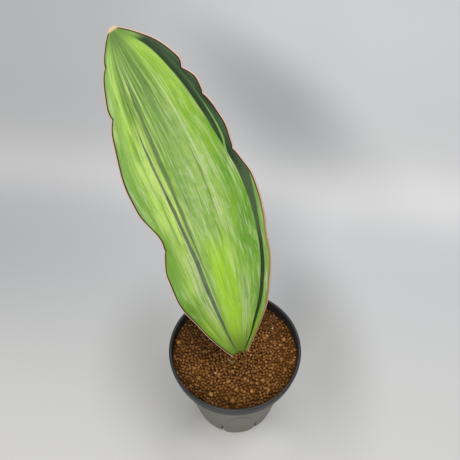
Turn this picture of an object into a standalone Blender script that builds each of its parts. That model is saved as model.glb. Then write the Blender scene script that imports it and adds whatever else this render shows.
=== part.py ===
"""A single-leaf snake plant in a nursery pot.

Metres, +Z up. The origin is the centre of the pot's underside, on the floor. -Y is the front: the
leaf shows its hollow inner face to -Y and leans back to +Y and to the left, -X.
"""

import math

import bmesh
import bpy
from mathutils import Matrix, Vector

# --- driving dimensions -----------------------------------------------------------------------

CLEARANCE = 0.0003          # gap between pieces that touch

POT_HEIGHT = 0.108
RIM_RADIUS = 0.061          # outer edge of the lip
LIP_WIDTH = 0.0028
LIP_HEIGHT = 0.0030
COLLAR_HEIGHT = 0.0100      # upright band under the lip
COLLAR_STEP = 0.0050        # how far the tapered wall sits inside the collar
SHOULDER_HEIGHT = 0.0015    # of the sloping ledge between the collar and the wall
BASE_RADIUS = 0.0407
FOOT_ROUNDING = 0.0014      # between the wall and the underside
WALL = 0.0013
POT_SIDES = 72

SLOT_COUNT = 8              # drain slits, evenly round the foot
SLOT_FOOT_WIDTH = 0.0030
SLOT_TOP_WIDTH = 0.0010
SLOT_HEIGHT = 0.0240
SLOT_DEPTH = 0.0080         # how far a slit runs in under the base
SLOT_START = math.radians(-106.5)

PANEL_WIDTH = 0.0256        # raised arch between two slits
PANEL_HEIGHT = 0.0660
PANEL_CROWN = 0.0280        # height of the arch's rounded top
PANEL_RELIEF = 0.0007

SOIL_DROP = 0.0100          # soil surface below the rim, at the wall
SOIL_CROWN = 0.0012         # how much higher the soil is at the leaf than at the wall

LEAF_FOOT = Vector((0.0024, 0.0020))  # where the midrib leaves the soil
LEAF_RISE = 0.2865          # height of the tip over the soil
LEAF_LEAN_LEFT = 0.046      # steady lean of the midrib
LEAF_TIP_SWEEP = 0.033      # extra curve to the left, towards the tip
LEAF_LEAN_BACK = 0.036
LEAF_TIP_BACK = 0.032
LEAF_BURIED = 0.0160        # length of leaf foot under the soil surface
LEAF_THICK_FOOT = 0.0042
LEAF_THICK_MID = 0.0032
LEAF_THICK_EDGE = 0.0014
LEAF_TURN_FOOT = math.radians(25)     # the foot is turned about the upright, the blade less
LEAF_TURN_BLADE = math.radians(4)
LEAF_TURN_FADE = 0.12       # share of the rise over which the turn fades
CHANNEL_FOOT = 0.0095       # radius of the channelled cross-section at the foot
CHANNEL_BLADE = 0.0920      # what that radius grows by up the blade
CHANNEL_FADE = 0.20
LEAF_ROWS = 52
LEAF_COLUMNS = 14
HOLLOW_ROWS = 6             # rows of the blade, from the soil up, that shape the hollow in the soil

# Width from the midrib to each margin, round the channel: share of the height, left, right.
MARGINS = (
    (0.00, 0.0086, 0.0117),
    (0.04, 0.0134, 0.0169),
    (0.10, 0.0203, 0.0239),
    (0.20, 0.0305, 0.0340),
    (0.25, 0.0355, 0.0383),
    (0.30, 0.0385, 0.0413),
    (0.40, 0.0404, 0.0464),
    (0.50, 0.0424, 0.0480),
    (0.60, 0.0436, 0.0484),
    (0.70, 0.0441, 0.0440),
    (0.80, 0.0380, 0.0362),
    (0.88, 0.0296, 0.0308),
    (0.94, 0.0202, 0.0217),
    (0.98, 0.0092, 0.0094),
    (1.00, 0.0011, 0.0014),
)

# Dents in the margins: side (-1 left, +1 right), share of the height, depth, half span as a share.
DENTS = (
    (-1, 0.505, 0.0078, 0.115),
    (-1, 0.850, 0.0014, 0.030),
    (-1, 0.948, 0.0008, 0.020),
    (1, 0.480, 0.0008, 0.060),
    (1, 0.706, 0.0044, 0.066),
    (1, 0.830, 0.0013, 0.030),
    (1, 0.884, 0.0024, 0.022),
)

RHIZOME_LENGTH = 0.046
RHIZOME_RADIUS = 0.0085
RHIZOME_TURN = math.radians(35)
LEAF_SEAT = 0.0030          # how deep the leaf's foot stands in the rhizome
ROOT_RADIUS = 0.0016
ROOT_REACH = 0.024
ROOT_FALL = 0.030
ROOT_COUNT = 6
ROOT_TAPER = 0.45           # share of its radius that a root loses by its end

SCALE_LENGTH = 0.0096
SCALE_WIDTH = 0.0024
SCALE_THICK = 0.0006
SCALE_PLACE = Vector((-0.0036, -0.0097))
SCALE_TURN = math.radians(-38)

# Loose grains: distance from the pot's axis as a share of the soil's radius, bearing, radius.
LOOSE_GRAINS = (
    (0.33, math.radians(197), 0.0026),
    (0.84, math.radians(268), 0.0030),
    (0.73, math.radians(291), 0.0020),
    (0.82, math.radians(14), 0.0021),
    (0.92, math.radians(171), 0.0018),
    (0.82, math.radians(244), 0.0023),
)

# --- values that follow from them -------------------------------------------------------------

UP = Vector((0, 0, 1))
SOIL_EDGE_Z = POT_HEIGHT - SOIL_DROP
SOIL_TOP_Z = SOIL_EDGE_Z + SOIL_CROWN
COLLAR_RADIUS = RIM_RADIUS - LIP_WIDTH / 2
WALL_TOP_RADIUS = COLLAR_RADIUS - COLLAR_STEP
WALL_TOP_Z = POT_HEIGHT - LIP_HEIGHT - COLLAR_HEIGHT - SHOULDER_HEIGHT
RHIZOME_Z = SOIL_TOP_Z - LEAF_BURIED + LEAF_SEAT - RHIZOME_RADIUS


# --- helpers ----------------------------------------------------------------------------------


def clear_scene():
    for item in list(bpy.data.objects):
        bpy.data.objects.remove(item, do_unlink=True)


def make_collection(name):
    collection = bpy.data.collections.new(name)
    bpy.context.scene.collection.children.link(collection)
    return collection


def make_material(name, colour, roughness, metallic=0.0):
    material = bpy.data.materials.new(name)
    material.use_nodes = True
    shader = material.node_tree.nodes["Principled BSDF"]
    shader.inputs["Base Color"].default_value = (*colour, 1.0)
    shader.inputs["Roughness"].default_value = roughness
    shader.inputs["Metallic"].default_value = metallic
    return material


def add_object(name, mesh, collection, material=None, smooth=True):
    item = bpy.data.objects.new(name, mesh)
    collection.objects.link(item)
    if material:
        mesh.materials.append(material)
    if smooth:
        mesh.shade_smooth()
        mesh.set_sharp_from_angle(angle=math.radians(40))
    return item


def hide_cutter(item):
    item.hide_render = True
    item.display_type = "WIRE"


def add_boolean(item, cutter, operation="DIFFERENCE"):
    boolean = item.modifiers.new(cutter.name, "BOOLEAN")
    boolean.operation = operation
    boolean.object = cutter
    boolean.solver = "EXACT"
    return boolean


def bake_modifiers(item):
    """Makes the evaluated shape the object's own mesh."""
    graph = bpy.context.evaluated_depsgraph_get()
    mesh = bpy.data.meshes.new_from_object(item.evaluated_get(graph))
    item.modifiers.clear()
    item.data = mesh


def turned(name, profile, collection, material=None, closed=False):
    """Turns a profile of (radius, height) points, outer side top to bottom, about +Z."""
    mesh = bpy.data.meshes.new(name)
    points = [(radius, 0.0, height) for radius, height in profile]
    edges = [(index, index + 1) for index in range(len(points) - 1)]
    if closed:
        edges.append((len(points) - 1, 0))
    mesh.from_pydata(points, edges, [])
    item = add_object(name, mesh, collection, smooth=False)
    screw = item.modifiers.new("turn", "SCREW")
    screw.steps = POT_SIDES
    screw.render_steps = POT_SIDES
    screw.use_merge_vertices = True
    screw.merge_threshold = 0.00001
    screw.use_normal_calculate = False
    bake_modifiers(item)
    if material:
        item.data.materials.append(material)
    item.data.shade_smooth()
    item.data.set_sharp_from_angle(angle=math.radians(30))
    return item


def smooth_value(points, at):
    """A smooth curve through (place, value) points, flat-ended, read at one place."""
    if at <= points[0][0]:
        return points[0][1]
    if at >= points[-1][0]:
        return points[-1][1]
    last = len(points) - 1
    low = max(i for i in range(last) if points[i][0] <= at)
    place = [points[min(max(low + step, 0), last)][0] for step in (-1, 0, 1, 2)]
    value = [points[min(max(low + step, 0), last)][1] for step in (-1, 0, 1, 2)]
    span = place[2] - place[1]
    share = (at - place[1]) / span
    slope_in = (value[2] - value[0]) / (place[2] - place[0]) * span
    slope_out = (value[3] - value[1]) / (place[3] - place[1]) * span
    square = share * share
    cube = square * share
    return (
        (2 * cube - 3 * square + 1) * value[1]
        + (cube - 2 * square + share) * slope_in
        + (3 * square - 2 * cube) * value[2]
        + (cube - square) * slope_out
    )


# --- pot --------------------------------------------------------------------------------------


def wall_radius(height):
    """Outer radius of the tapered wall at a height."""
    share = height / WALL_TOP_Z
    return BASE_RADIUS + (WALL_TOP_RADIUS - BASE_RADIUS) * share


def inner_radius(height):
    """Inner radius of the pot: the tapered wall, the ledge, then the collar."""
    if height <= WALL_TOP_Z:
        return wall_radius(height) - WALL
    share = min((height - WALL_TOP_Z) / SHOULDER_HEIGHT, 1.0)
    return WALL_TOP_RADIUS + COLLAR_STEP * share - WALL


def foot_arc(steps=4):
    """The rounding between the wall and the underside, wall first."""
    centre = BASE_RADIUS - FOOT_ROUNDING
    arc = []
    for step in range(steps + 1):
        angle = math.pi / 2 * step / steps
        arc.append((
            centre + FOOT_ROUNDING * math.cos(angle),
            FOOT_ROUNDING * (1 - math.sin(angle)),
        ))
    return arc


def pot_profile():
    """From the inside of the base up the wall, over the lip, down the outside and under the base."""
    lip_inner = RIM_RADIUS - LIP_WIDTH
    lip_round = LIP_WIDTH / 4
    inner = [
        (0.0, WALL),
        (BASE_RADIUS - FOOT_ROUNDING - WALL, WALL),
        (wall_radius(WALL + FOOT_ROUNDING) - WALL, WALL + FOOT_ROUNDING),
        (wall_radius(WALL_TOP_Z) - WALL, WALL_TOP_Z),
        (COLLAR_RADIUS - WALL, WALL_TOP_Z + SHOULDER_HEIGHT),
        (lip_inner, POT_HEIGHT - lip_round),
        (lip_inner + lip_round, POT_HEIGHT),
    ]
    outer = [
        (RIM_RADIUS - lip_round, POT_HEIGHT),
        (RIM_RADIUS - 0.3 * lip_round, POT_HEIGHT - 0.3 * lip_round),
        (RIM_RADIUS, POT_HEIGHT - lip_round),
        (RIM_RADIUS, POT_HEIGHT - LIP_HEIGHT + lip_round / 2),
        (RIM_RADIUS - lip_round / 2, POT_HEIGHT - LIP_HEIGHT),
        (COLLAR_RADIUS, POT_HEIGHT - LIP_HEIGHT),
        (COLLAR_RADIUS, WALL_TOP_Z + SHOULDER_HEIGHT),
        (WALL_TOP_RADIUS, WALL_TOP_Z),
    ]
    return inner + outer + foot_arc() + [(0.0, 0.0)]


def slot_angles():
    return [SLOT_START + math.tau * index / SLOT_COUNT for index in range(SLOT_COUNT)]


def slot_cutter(collection):
    """All the drain slits as one cutter: upright wedges, wide at the foot, set radially."""
    cutter = bmesh.new()
    near = BASE_RADIUS - SLOT_DEPTH
    far = wall_radius(SLOT_HEIGHT) + PANEL_RELIEF + WALL
    widths = ((SLOT_FOOT_WIDTH / 2, -WALL), (SLOT_TOP_WIDTH / 2, SLOT_HEIGHT))
    for angle in slot_angles():
        outline = [(-widths[0][0], widths[0][1]), widths[0], widths[1], (-widths[1][0], widths[1][1])]
        ring = [cutter.verts.new((near, across, height)) for across, height in outline]
        face = cutter.faces.new(ring)
        pushed = bmesh.ops.extrude_face_region(cutter, geom=[face])["geom"]
        moved = [item for item in pushed if isinstance(item, bmesh.types.BMVert)]
        bmesh.ops.translate(cutter, verts=moved, vec=(far - near, 0, 0))
        bmesh.ops.rotate(cutter, verts=ring + moved, matrix=Matrix.Rotation(angle, 3, "Z"))
    bmesh.ops.recalc_face_normals(cutter, faces=cutter.faces)
    mesh = bpy.data.meshes.new("slot_cutter")
    cutter.to_mesh(mesh)
    cutter.free()
    item = add_object("slot_cutter", mesh, collection, smooth=False)
    hide_cutter(item)
    return item


def arch_prism(angle, collection, name):
    """An upright arch, extruded outwards through the wall at one bearing."""
    half = PANEL_WIDTH / 2
    shoulder = PANEL_HEIGHT - PANEL_CROWN
    outline = [(-half, -WALL), (half, -WALL), (half, shoulder)]
    steps = 12
    for step in range(1, steps):
        turn = math.pi * step / steps
        outline.append((half * math.cos(turn), shoulder + PANEL_CROWN * math.sin(turn)))
    outline.append((-half, shoulder))
    near = BASE_RADIUS - 4 * WALL
    far = wall_radius(PANEL_HEIGHT) + 4 * WALL
    shape = bmesh.new()
    ring = [shape.verts.new((near, across, height)) for across, height in outline]
    face = shape.faces.new(ring)
    pushed = bmesh.ops.extrude_face_region(shape, geom=[face])["geom"]
    moved = [item for item in pushed if isinstance(item, bmesh.types.BMVert)]
    bmesh.ops.translate(shape, verts=moved, vec=(far - near, 0, 0))
    bmesh.ops.recalc_face_normals(shape, faces=shape.faces)
    bmesh.ops.rotate(shape, verts=shape.verts, matrix=Matrix.Rotation(angle, 3, "Z"))
    mesh = bpy.data.meshes.new(name)
    shape.to_mesh(mesh)
    shape.free()
    item = add_object(name, mesh, collection, smooth=False)
    hide_cutter(item)
    return item


def relief_profile():
    """A ring that stands proud of the wall's foot, and sinks half into the wall."""
    top = (PANEL_HEIGHT + WALL_TOP_Z) / 2
    toe = PANEL_RELIEF / 2
    proud = [
        (wall_radius(top) + PANEL_RELIEF, top),
        (wall_radius(FOOT_ROUNDING) + PANEL_RELIEF, FOOT_ROUNDING),
        (BASE_RADIUS, toe),
    ]
    sunk = [
        (BASE_RADIUS - FOOT_ROUNDING, toe),
        (wall_radius(FOOT_ROUNDING) - WALL / 2, FOOT_ROUNDING),
        (wall_radius(top) - WALL / 2, top),
    ]
    return proud + sunk


def build_pot(parts, cutters, material):
    pot = turned("pot", pot_profile(), parts, material)
    slots = slot_cutter(cutters)
    step = math.tau / SLOT_COUNT
    for index in range(0, SLOT_COUNT, 2):
        bearing = SLOT_START + step * (index + 0.5)
        prism = arch_prism(bearing, cutters, f"arch_cutter_{index}")
        panel = turned(f"arch_panel_{index}", relief_profile(), cutters, closed=True)
        add_boolean(panel, prism, "INTERSECT")
        bake_modifiers(panel)
        hide_cutter(panel)
        add_boolean(pot, panel, "UNION")
        bake_modifiers(pot)
    add_boolean(pot, slots)
    bake_modifiers(pot)
    return pot


# --- leaf -------------------------------------------------------------------------------------


def midrib(share):
    """A point of the midrib: share 0 is at the soil, 1 at the tip, below 0 is buried."""
    grown = max(share, 0.0)
    return Vector((
        LEAF_FOOT.x - LEAF_LEAN_LEFT * share - LEAF_TIP_SWEEP * grown ** 4.2,
        LEAF_FOOT.y + LEAF_LEAN_BACK * share + LEAF_TIP_BACK * grown ** 2,
        SOIL_TOP_Z + LEAF_RISE * share,
    ))


def leaf_axes(share):
    """Across the blade, and out of its hollow face, at one share of the height."""
    small = 0.001
    along = (midrib(share + small) - midrib(share - small)).normalized()
    fade = math.exp(-max(share, 0.0) / LEAF_TURN_FADE)
    turn = LEAF_TURN_BLADE + (LEAF_TURN_FOOT - LEAF_TURN_BLADE) * fade
    across = Vector((math.cos(turn), math.sin(turn), 0.0))
    across = (across - along * along.dot(across)).normalized()
    return across, across.cross(along)


def channel_radius(share):
    return CHANNEL_FOOT + CHANNEL_BLADE * (1 - math.exp(-max(share, 0.0) / CHANNEL_FADE))


def half_width(side, share):
    """Width from the midrib to one margin, with that margin's dents. A side below 0 is the left."""
    column = 1 if side < 0 else 2
    width = smooth_value([(row[0], row[column]) for row in MARGINS], share)
    for dent_side, place, depth, span in DENTS:
        away = abs(share - place) / span
        if dent_side * side > 0 and away < 1:
            width -= depth * (1 - away) ** 2 * (1 + 2 * away)
    return width


def leaf_point(share, lateral, lift):
    """A point on the blade: lateral -1 to +1 across it, lift out of the hollow face."""
    side = -1 if lateral < 0 else 1
    across, facing = leaf_axes(share)
    radius = channel_radius(share)
    turn = abs(lateral) * half_width(side, share) * side / radius
    reach = radius - lift
    return midrib(share) + across * reach * math.sin(turn) + facing * (radius - reach * math.cos(turn))


def leaf_thickness(share, lateral):
    middle = smooth_value(((0.0, LEAF_THICK_FOOT), (0.5, LEAF_THICK_MID), (1.0, LEAF_THICK_EDGE)), share)
    return LEAF_THICK_EDGE + (middle - LEAF_THICK_EDGE) * (1 - lateral * lateral)


def leaf_solid(name, swell=0.0, rows=LEAF_ROWS):
    """The blade as a loft: a closed ring of points at each height. Swell makes it a cutter."""
    buried = LEAF_BURIED / LEAF_RISE
    shares = [-buried - swell / LEAF_RISE, -buried / 2]
    shares += [row / LEAF_ROWS for row in range(rows + 1)]
    shape = bmesh.new()
    rings = []
    for share in shares:
        ring = []
        for face in (1, -1):
            for column in range(LEAF_COLUMNS + 1):
                lateral = face * (2 * column / LEAF_COLUMNS - 1)
                lift = face * (leaf_thickness(share, lateral) / 2 + swell)
                stretch = 1 + swell / half_width(lateral, share)
                ring.append(shape.verts.new(leaf_point(share, lateral * stretch, lift)))
        rings.append(ring)
    count = len(rings[0])
    for low, high in zip(rings, rings[1:]):
        for index in range(count):
            after = (index + 1) % count
            shape.faces.new((low[index], low[after], high[after], high[index]))
    for ring in (rings[0], rings[-1]):
        half = count // 2
        for column in range(half - 1):
            back = count - 1 - column
            shape.faces.new((ring[column], ring[column + 1], ring[back - 1], ring[back]))
    bmesh.ops.recalc_face_normals(shape, faces=shape.faces)
    mesh = bpy.data.meshes.new(name)
    shape.to_mesh(mesh)
    shape.free()
    return mesh


# --- rhizome ----------------------------------------------------------------------------------


def root_tube(name, start, bearing, swell, collection):
    """One root: a bent tube that runs out and down from the rhizome, as a mesh. Swell makes it a cutter."""
    curve = bpy.data.curves.new(name, "CURVE")
    curve.dimensions = "3D"
    curve.bevel_depth = 1.0
    curve.bevel_resolution = 1
    curve.use_fill_caps = True
    spline = curve.splines.new("POLY")
    steps = 5
    shares = [step / steps for step in range(steps)] + [1 + swell / (2 * ROOT_FALL)]
    spline.points.add(steps)
    outwards = Vector((math.cos(bearing), math.sin(bearing), 0.0))
    for place, share in zip(spline.points, shares):
        point = start + outwards * ROOT_REACH * math.sin(share * math.pi / 2) - UP * ROOT_FALL * share ** 2
        place.co = (*point, 1.0)
        place.radius = ROOT_RADIUS * (1 - ROOT_TAPER * min(share, 1.0)) + swell
    guide = bpy.data.objects.new(name + "_curve", curve)
    collection.objects.link(guide)
    graph = bpy.context.evaluated_depsgraph_get()
    mesh = bpy.data.meshes.new_from_object(guide.evaluated_get(graph))
    bpy.data.objects.remove(guide, do_unlink=True)
    shape = bmesh.new()
    shape.from_mesh(mesh)
    bmesh.ops.remove_doubles(shape, verts=shape.verts, dist=0.00001)
    bmesh.ops.recalc_face_normals(shape, faces=shape.faces)
    shape.to_mesh(mesh)
    shape.free()
    item = add_object(name, mesh, collection, smooth=False)
    hide_cutter(item)
    return item


def rhizome_body(name, swell, collection):
    """The thick stem: a stretched ball, level, under the leaf's foot."""
    shape = bmesh.new()
    turn = Matrix.Rotation(RHIZOME_TURN, 4, "Z")
    centre = Vector((LEAF_FOOT.x, LEAF_FOOT.y, RHIZOME_Z))
    stretch = Matrix.Diagonal((RHIZOME_LENGTH / 2 + swell, RHIZOME_RADIUS + swell, RHIZOME_RADIUS + swell, 1))
    bmesh.ops.create_uvsphere(
        shape, u_segments=20, v_segments=12, radius=1.0,
        matrix=Matrix.Translation(centre) @ turn @ stretch @ Matrix.Rotation(math.pi / 2, 4, "Y"),
    )
    mesh = bpy.data.meshes.new(name)
    shape.to_mesh(mesh)
    shape.free()
    return add_object(name, mesh, collection, smooth=True)


def rhizome_with_roots(name, swell, collection, cutters):
    body = rhizome_body(name, swell, collection)
    along = Vector((math.cos(RHIZOME_TURN), math.sin(RHIZOME_TURN), 0.0))
    for index in range(ROOT_COUNT):
        bearing = RHIZOME_TURN + math.tau * (index + 0.5) / ROOT_COUNT
        outwards = Vector((math.cos(bearing), math.sin(bearing), 0.0))
        start = Vector((LEAF_FOOT.x, LEAF_FOOT.y, RHIZOME_Z - RHIZOME_RADIUS * 0.5))
        start += along * (RHIZOME_LENGTH / 4) * along.dot(outwards)
        root = root_tube(f"{name}_root_{index}", start, bearing, swell, cutters)
        add_boolean(body, root, "UNION")
        bake_modifiers(body)
    return body


# --- soil and what lies on it -----------------------------------------------------------------


def soil_height(radius):
    """Height of the soil surface: highest at the leaf, lowest at the wall."""
    share = min(radius / inner_radius(SOIL_EDGE_Z), 1.0)
    return SOIL_TOP_Z - SOIL_CROWN * share * share


def build_soil(parts, cutters, leaf_hollow, material):
    """A plug that fills the pot, less the hollow that the plant grows in."""
    edge = inner_radius(SOIL_EDGE_Z) - CLEARANCE
    floor = WALL + CLEARANCE
    rings = 8
    surface = [(edge * ring / rings, soil_height(edge * ring / rings)) for ring in range(rings + 1)]
    over_ledge = CLEARANCE * (math.hypot(COLLAR_STEP, SHOULDER_HEIGHT) - SHOULDER_HEIGHT) / COLLAR_STEP
    toe_z = floor + FOOT_ROUNDING
    ledge = [
        (edge, WALL_TOP_Z + SHOULDER_HEIGHT + over_ledge),
        (inner_radius(WALL_TOP_Z) - CLEARANCE, WALL_TOP_Z + over_ledge),
    ]
    side = [point for point in ledge if point[1] < SOIL_EDGE_Z]
    side.append((inner_radius(toe_z) - CLEARANCE, toe_z))
    side.append((BASE_RADIUS - FOOT_ROUNDING - WALL - CLEARANCE, floor))
    soil = turned("soil", surface + side + [(0.0, floor)], parts, material)
    rhizome_hollow = rhizome_with_roots("rhizome_hollow", CLEARANCE, cutters, cutters)
    hide_cutter(rhizome_hollow)
    add_boolean(rhizome_hollow, leaf_hollow, "UNION")
    bake_modifiers(rhizome_hollow)
    add_boolean(soil, rhizome_hollow)
    bake_modifiers(soil)
    return soil


def build_dry_scale(parts, material):
    """A thin curled strip that lies on the soil in front of the leaf's foot."""
    columns = 8
    shape = bmesh.new()
    rows = []
    for column in range(columns + 1):
        share = 2 * column / columns - 1
        half = SCALE_WIDTH / 2 * math.sqrt(1.04 - share * share)
        sag = 0.0012 * share * share
        rows.append([
            shape.verts.new((share * SCALE_LENGTH / 2, -half, sag)),
            shape.verts.new((share * SCALE_LENGTH / 2, half, sag + 0.0008)),
        ])
    for low, high in zip(rows, rows[1:]):
        shape.faces.new((low[0], high[0], high[1], low[1]))
    mesh = bpy.data.meshes.new("dry_scale")
    shape.to_mesh(mesh)
    shape.free()
    item = add_object("dry_scale", mesh, parts, material)
    item.location = (SCALE_PLACE.x, SCALE_PLACE.y, SOIL_TOP_Z + CLEARANCE)
    item.rotation_euler = (0, 0, SCALE_TURN)
    wall = item.modifiers.new("thickness", "SOLIDIFY")
    wall.thickness = SCALE_THICK
    wall.offset = 1.0
    return item


def build_loose_grain(index, outwards, bearing, radius, parts, material):
    """A rough grain, resting on the soil."""
    shape = bmesh.new()
    bmesh.ops.create_icosphere(shape, subdivisions=2, radius=radius)
    for vert in shape.verts:
        wobble = 0.12 * math.sin(3.1 * index + 900 * vert.co.x) * math.cos(2.3 * index + 1100 * vert.co.y)
        vert.co *= 1 + wobble
    lowest = min(vert.co.z for vert in shape.verts)
    mesh = bpy.data.meshes.new(f"loose_grain_{index}")
    shape.to_mesh(mesh)
    shape.free()
    item = add_object(f"loose_grain_{index}", mesh, parts, material)
    distance = outwards * inner_radius(SOIL_EDGE_Z)
    rest_z = soil_height(distance - radius) + CLEARANCE
    item.location = (distance * math.cos(bearing), distance * math.sin(bearing), rest_z - lowest)
    return item


# --- the whole plant --------------------------------------------------------------------------


def build():
    clear_scene()
    parts = make_collection("potted_snake_plant")
    cutters = make_collection("cutters")
    black_plastic = make_material("black_plastic", (0.022, 0.022, 0.023), 0.45)
    granules = make_material("brown_granules", (0.115, 0.052, 0.020), 0.95)
    leaf_green = make_material("variegated_leaf", (0.270, 0.450, 0.090), 0.40)
    root_cream = make_material("root_cream", (0.560, 0.410, 0.230), 0.70)
    papery = make_material("dry_paper", (0.520, 0.380, 0.220), 0.85)
    grain_brown = make_material("loose_grain", (0.240, 0.120, 0.050), 0.95)
    build_pot(parts, cutters, black_plastic)
    leaf_hollow = add_object("leaf_hollow", leaf_solid("leaf_hollow", CLEARANCE, HOLLOW_ROWS), cutters)
    hide_cutter(leaf_hollow)
    build_soil(parts, cutters, leaf_hollow, granules)
    add_object("leaf", leaf_solid("leaf"), parts, leaf_green)
    rhizome = rhizome_with_roots("rhizome", 0.0, parts, cutters)
    add_boolean(rhizome, leaf_hollow)
    bake_modifiers(rhizome)
    rhizome.data.materials.clear()
    rhizome.data.materials.append(root_cream)
    build_dry_scale(parts, papery)
    for index, (outwards, bearing, radius) in enumerate(LOOSE_GRAINS, start=1):
        build_loose_grain(index, outwards, bearing, radius, parts, grain_brown)


build()
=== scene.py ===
"""A single-leaf, broad-leaved snake plant in a black nursery pot. Metres, +Z up, pot base at z 0."""

import math

import bmesh
import bpy
from mathutils import Matrix, Vector


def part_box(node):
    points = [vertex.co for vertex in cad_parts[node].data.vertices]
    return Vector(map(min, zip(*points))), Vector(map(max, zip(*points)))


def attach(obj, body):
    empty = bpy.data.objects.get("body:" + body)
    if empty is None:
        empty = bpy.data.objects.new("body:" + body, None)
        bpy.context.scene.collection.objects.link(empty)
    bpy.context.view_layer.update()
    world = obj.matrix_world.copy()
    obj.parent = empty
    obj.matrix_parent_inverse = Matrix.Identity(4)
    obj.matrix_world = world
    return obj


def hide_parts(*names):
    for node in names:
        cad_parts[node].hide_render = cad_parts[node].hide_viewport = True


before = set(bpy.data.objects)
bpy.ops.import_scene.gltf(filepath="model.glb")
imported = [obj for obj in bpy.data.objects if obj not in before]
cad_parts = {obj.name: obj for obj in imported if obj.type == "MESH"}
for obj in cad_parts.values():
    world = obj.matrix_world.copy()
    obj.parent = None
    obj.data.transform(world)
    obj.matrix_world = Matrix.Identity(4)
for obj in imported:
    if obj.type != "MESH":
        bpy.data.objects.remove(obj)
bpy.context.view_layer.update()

pot_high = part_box("pot")[1]
soil_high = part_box("soil")[1]
RIM_Z = pot_high.z
SOIL_TOP_Z = soil_high.z
GROWN = "root"

# ------------------------------------------------------------------------------------------------
# Camera. It stands in front of the pot and well over it, looking down at about fifty degrees,
# as a hand-held shot of a plant on a table does.
# ------------------------------------------------------------------------------------------------
CAMERA_IN_FRONT = 0.2364
CAMERA_OVER_RIM = 0.4520
CAMERA_DOWN = math.radians(50.20)
CAMERA_PAN = math.radians(-0.87)
CAMERA_ROLL = math.radians(0.51)
FIELD_OF_VIEW = math.radians(46.15)


def add_piece(name, data):
    """A new object in the scene, at the origin, with this mesh, lamp or lens."""
    item = bpy.data.objects.new(name, data)
    bpy.context.scene.collection.objects.link(item)
    return item


looking = Vector((
    math.sin(CAMERA_PAN) * math.cos(CAMERA_DOWN),
    math.cos(CAMERA_PAN) * math.cos(CAMERA_DOWN),
    -math.sin(CAMERA_DOWN),
))
level_right = Vector((math.cos(CAMERA_PAN), -math.sin(CAMERA_PAN), 0.0))
level_down = looking.cross(level_right)
to_right = level_right * math.cos(CAMERA_ROLL) + level_down * math.sin(CAMERA_ROLL)
to_top = level_right * math.sin(CAMERA_ROLL) - level_down * math.cos(CAMERA_ROLL)

camera_data = bpy.data.cameras.new("camera")
camera_data.sensor_width = 36.0
camera_data.angle = FIELD_OF_VIEW
camera_data.clip_start = 0.01
camera = add_piece("camera", camera_data)
turned = Matrix((to_right, to_top, -looking)).transposed().to_4x4()
camera.matrix_world = Matrix.Translation((0.0, -CAMERA_IN_FRONT, RIM_Z + CAMERA_OVER_RIM)) @ turned
bpy.context.scene.camera = camera

# ------------------------------------------------------------------------------------------------
# Studio. A pale paper floor with painted shadows and painted light on it, a soft light high in
# front, a wide one overhead, and pale air all round: the object's own shadows are faint and wide.
# ------------------------------------------------------------------------------------------------
bpy.context.scene.view_settings.view_transform = "Standard"


def add_node(tree, kind, inputs=None, **settings):
    """A node with its settings, and its inputs set to values or linked to sockets."""
    made = tree.nodes.new(kind)
    for name, value in settings.items():
        setattr(made, name, value)
    for key, value in (inputs or {}).items():
        if isinstance(value, bpy.types.NodeSocket):
            tree.links.new(value, made.inputs[key])
        else:
            made.inputs[key].default_value = value
    return made


def new_material(name):
    """An empty Principled material: the material, its node tree and its shader."""
    material = bpy.data.materials.new(name)
    material.use_nodes = True
    tree = material.node_tree
    return material, tree, tree.nodes["Principled BSDF"]


def add_light(name, place, aim, width, height, power, colour):
    data = bpy.data.lights.new(name, "AREA")
    data.shape = "RECTANGLE"
    data.size = width
    data.size_y = height
    data.energy = power
    data.color = colour
    item = add_piece(name, data)
    item.location = place
    item.rotation_euler = (Vector(aim) - Vector(place)).to_track_quat("-Z", "Y").to_euler()


add_light("main_softbox", (-0.35, -1.50, 1.25), (0.0, 0.0, 0.15), 0.6, 0.5, 16.5, (1.0, 0.99, 0.96))
add_light("overhead_softbox", (0.20, 0.30, 1.7), (0.0, 0.0, 0.1), 1.2, 1.0, 12.5, (1.0, 1.0, 1.0))

world = bpy.data.worlds.new("pale_room")
world.use_nodes = True
air = world.node_tree.nodes["Background"].inputs
air["Color"].default_value = (0.80, 0.81, 0.83, 1.0)
air["Strength"].default_value = 0.40
bpy.context.scene.world = world


def calc(tree, operation, first, second=0.0, third=0.0):
    made = add_node(tree, "ShaderNodeMath", {0: first, 1: second, 2: third}, operation=operation)
    return made.outputs[0]


def vector_calc(tree, operation, first, second=(0.0, 0.0, 0.0)):
    """Vector maths. The second input of SCALE is a number."""
    inputs = {0: first, ("Scale" if operation == "SCALE" else 1): second}
    made = add_node(tree, "ShaderNodeVectorMath", inputs, operation=operation)
    return made.outputs["Value" if operation in ("LENGTH", "DISTANCE") else "Vector"]


def ease(tree, value, low, high):
    """0 below low, 1 above high, smooth between."""
    made = add_node(
        tree, "ShaderNodeMapRange", {"Value": value, "From Min": low, "From Max": high},
        interpolation_type="SMOOTHSTEP",
    )
    return made.outputs["Result"]


def blend_colour(tree, share, first, second, how="MIX"):
    made = add_node(tree, "ShaderNodeMix", {0: share, 6: first, 7: second}, data_type="RGBA", blend_type=how)
    return made.outputs[2]


def colour_ramp(tree, at, stops, spline="LINEAR"):
    made = add_node(tree, "ShaderNodeValToRGB", {"Fac": at})
    ramp = made.color_ramp
    while len(ramp.elements) < len(stops):
        ramp.elements.new(0.5)
    for element, (place, colour) in zip(ramp.elements, stops):
        element.position = place
        element.color = (*colour, 1.0)
    ramp.interpolation = spline
    return made.outputs["Color"]


def object_place(tree):
    return add_node(tree, "ShaderNodeTexCoord").outputs["Object"]


FLOOR_REACH = 4.0
FLOOR_SLANT = 0.12
FLOOR_NEAR, FLOOR_FAR = -0.2, 0.9
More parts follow.
